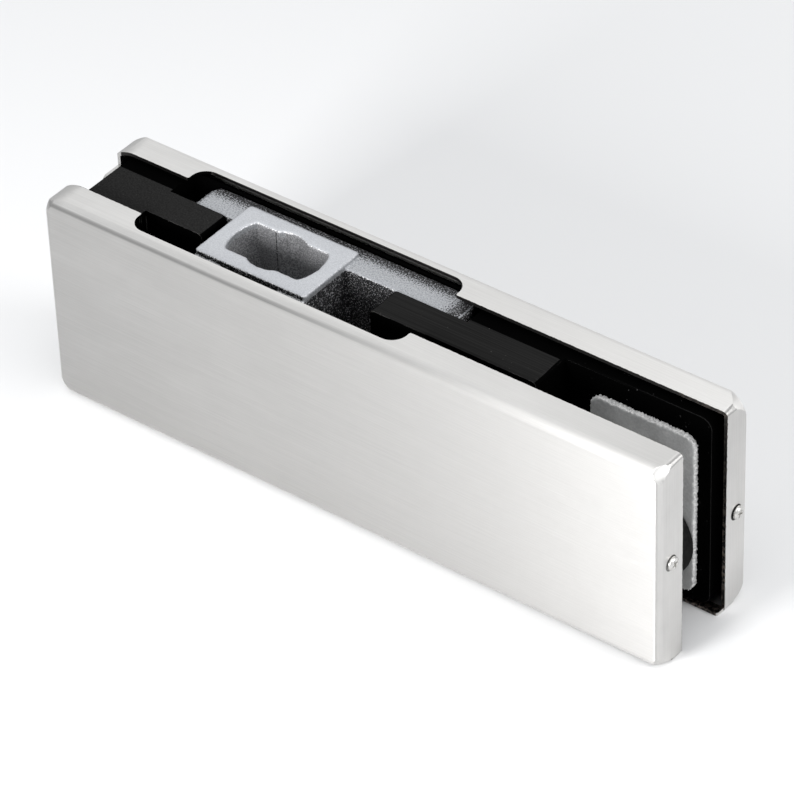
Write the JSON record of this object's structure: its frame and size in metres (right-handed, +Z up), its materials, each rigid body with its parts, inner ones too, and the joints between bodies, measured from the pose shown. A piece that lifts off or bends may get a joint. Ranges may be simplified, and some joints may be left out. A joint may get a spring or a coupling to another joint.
{
  "type": "glass door patch fitting",
  "caption": "Patch fitting that clamps the corner of a frameless glass door leaf and takes a floor spring's spindle in a cast pivot insert.",
  "frame": {"origin": "centre of the underside, where the covers' lower lips stand", "axes": "+X from the closed end to the glass end, +Y from the front cover to the rear cover, +Z up out of the spindle socket"},
  "size_m": [0.1662, 0.032, 0.0535],
  "materials": {
    "cover_steel": "satin, brushed along the length",
    "black_casting": "matt black paint on a casting",
    "grey_casting": "rough as cast, bright edges",
    "fibre_gasket": "pressed grey fibre with a fuzzy cut edge",
    "black_nylon": "matt moulded",
    "zinc_screw": "zinc plated",
    "cover_screw": "bright plated"
  },
  "bodies": {
    "rear_half": {"rear_cover": "cover_steel", "rear_body": "black_casting", "rear_gasket": "fibre_gasket", "left_lock_screw": "zinc_screw", "right_lock_screw": "zinc_screw", "rear_left_screw": "cover_screw", "rear_right_screw": "cover_screw"},
    "front_half": {"front_cover": "cover_steel", "front_body": "black_casting", "front_gasket": "fibre_gasket", "left_bush": "black_nylon", "right_bush": "black_nylon", "left_clamp_screw": "zinc_screw", "right_clamp_screw": "zinc_screw", "front_left_screw": "cover_screw", "front_right_screw": "cover_screw"},
    "insert": {"pivot_insert": "grey_casting"}
  },
  "joints": [
    {"name": "grip", "type": "slide", "parent": "rear_half", "child": "front_half", "axis": [0, -1, 0], "range_m": [0, 0.002]},
    {"name": "insert_adjust", "type": "slide", "parent": "rear_half", "child": "insert", "axis": [1, 0, 0], "range_m": [-0.002, 0.0015]}
  ]
}
